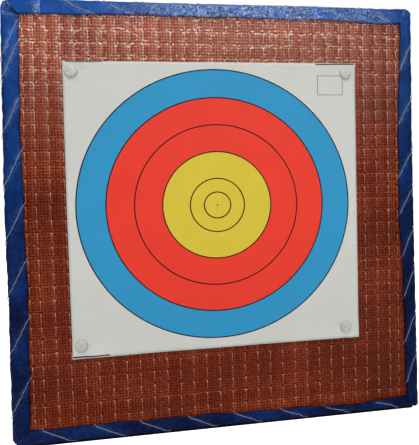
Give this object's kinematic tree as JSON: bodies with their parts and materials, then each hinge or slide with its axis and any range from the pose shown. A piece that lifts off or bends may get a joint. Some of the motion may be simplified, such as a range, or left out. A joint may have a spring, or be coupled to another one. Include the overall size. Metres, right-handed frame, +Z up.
{
  "type": "archery target boss",
  "caption": "Free-standing quilted archery boss with a laced rim wrap and a paper ring face held on by push pins.",
  "frame": {"origin": "middle of the flat bottom face that the boss stands on", "axes": "+Z up along the boss's height, -Y out of the front that carries the target face, +X to the right seen from the front"},
  "size_m": [0.607, 0.1034, 0.6455],
  "materials": {
    "woven_tape": "satin",
    "wadding": "matte",
    "core_ply": "matte",
    "quilt_thread": "matte",
    "wrap_sheet": "satin",
    "lace_cord": "matte",
    "face_sheet": "satin",
    "pin_plastic": "satin"
  },
  "bodies": {
    "mat": {"front_cover": "woven_tape", "back_cover": "woven_tape", "front_wadding": "wadding", "back_wadding": "wadding", "core_ply_1": "core_ply", "core_ply_2": "core_ply", "core_ply_3": "core_ply", "core_ply_4": "core_ply", "front_quilting_thread": "quilt_thread", "back_quilting_thread": "quilt_thread", "rim_wrap": "wrap_sheet", "left_lacing_cord": "lace_cord", "bottom_lacing_cord": "lace_cord", "right_lacing_cord": "lace_cord", "top_lacing_cord": "lace_cord"},
    "face": {"target_face": "face_sheet"},
    "pin_top_left": {"face_pin_top_left": "pin_plastic"},
    "pin_top_right": {"face_pin_top_right": "pin_plastic"},
    "pin_bottom_left": {"face_pin_bottom_left": "pin_plastic"},
    "pin_bottom_right": {"face_pin_bottom_right": "pin_plastic"}
  },
  "joints": [
    {"name": "face_lift", "type": "slide", "parent": "mat", "child": "face", "axis": [0, -1, 0], "range_m": [0, 0.08]},
    {"name": "pin_top_left_pull", "type": "slide", "parent": "face", "child": "pin_top_left", "axis": [0, -1, 0], "range_m": [0, 0.06]},
    {"name": "pin_top_right_pull", "type": "slide", "parent": "face", "child": "pin_top_right", "axis": [0, -1, 0], "range_m": [0, 0.06]},
    {"name": "pin_bottom_left_pull", "type": "slide", "parent": "face", "child": "pin_bottom_left", "axis": [0, -1, 0], "range_m": [0, 0.06]},
    {"name": "pin_bottom_right_pull", "type": "slide", "parent": "face", "child": "pin_bottom_right", "axis": [0, -1, 0], "range_m": [0, 0.06]}
  ]
}
